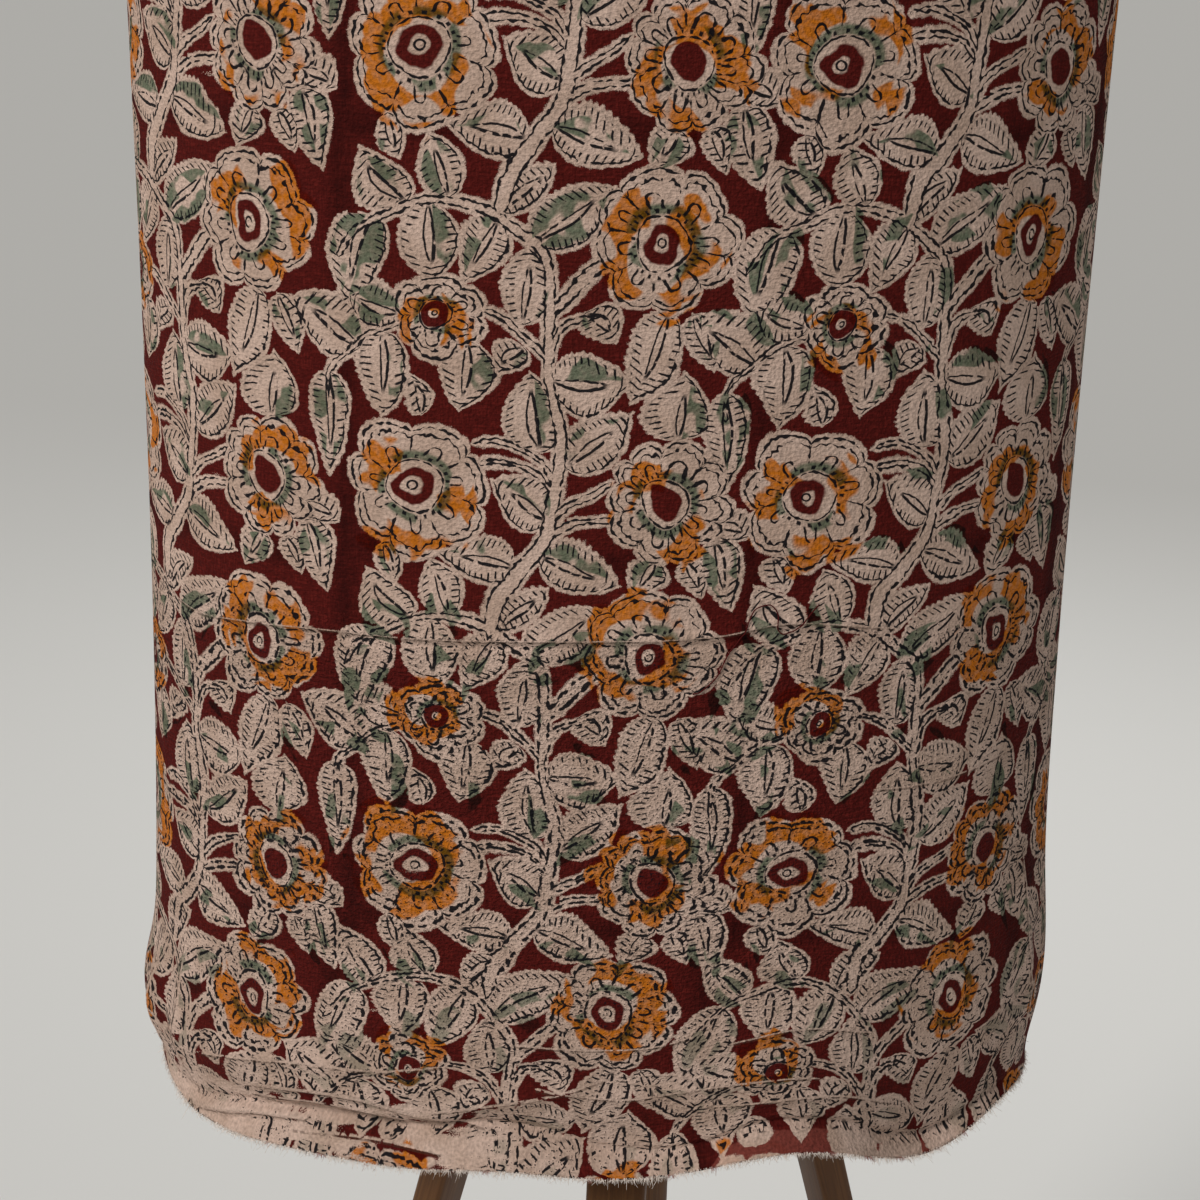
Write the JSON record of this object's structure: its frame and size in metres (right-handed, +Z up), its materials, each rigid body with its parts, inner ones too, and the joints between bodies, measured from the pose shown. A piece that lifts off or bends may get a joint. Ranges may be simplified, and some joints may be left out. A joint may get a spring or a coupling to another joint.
{
  "type": "kalamkari cloth panel on a dress form stand",
  "caption": "Block-printed cotton panel with a frayed raw hem, wrapped once round a padded dress form that stands on a wooden tripod.",
  "frame": {"origin": "on the floor, in the middle of the footprint's bounding box", "axes": "+Z up, the front of the cloth faces -Y"},
  "size_m": [0.489, 0.4454, 1.5103],
  "materials": {
    "printed_cotton": "matte printed cotton",
    "form_linen": "matte linen",
    "wood": "satin oiled wood"
  },
  "bodies": {
    "root": {"kalamkari_panel": "printed_cotton", "form_body": "form_linen", "neck_cap": "wood", "leg_hub": "wood", "centre_column": "wood", "leg_front": "wood", "leg_right": "wood", "leg_left": "wood"}
  },
  "joints": []
}
